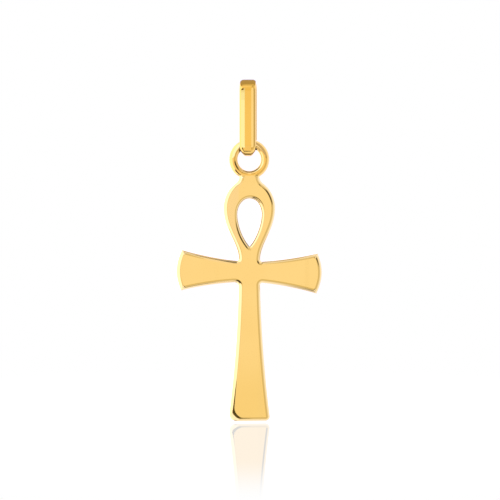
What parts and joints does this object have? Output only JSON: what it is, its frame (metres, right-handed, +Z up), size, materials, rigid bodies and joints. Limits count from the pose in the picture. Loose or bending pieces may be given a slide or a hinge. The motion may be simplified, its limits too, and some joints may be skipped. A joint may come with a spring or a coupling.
{
  "type": "ankh pendant",
  "caption": "Polished gold ankh pendant: a flat cross with flared arms and foot under an openwork teardrop head, whose soldered ring swings in a long narrow bail for a neck chain.",
  "frame": {"origin": "the middle of the inside of the bail's upper bend, where the chain carries the pendant", "axes": "+X to the wearer's left, seen as right from the front; +Y to the back, towards the wearer; +Z up"},
  "size_m": [0.0138, 0.0024, 0.0322],
  "materials": {
    "gold": "mirror-polished yellow gold"
  },
  "bodies": {
    "bail": {"bail": "gold"},
    "pendant": {"ankh": "gold"}
  },
  "joints": [
    {"name": "pendant_swing", "type": "hinge", "parent": "bail", "child": "pendant", "pos_m": [0.0001, 0, -0.00712], "axis": [0, 1, 0], "range_deg": [-110, 110]}
  ]
}
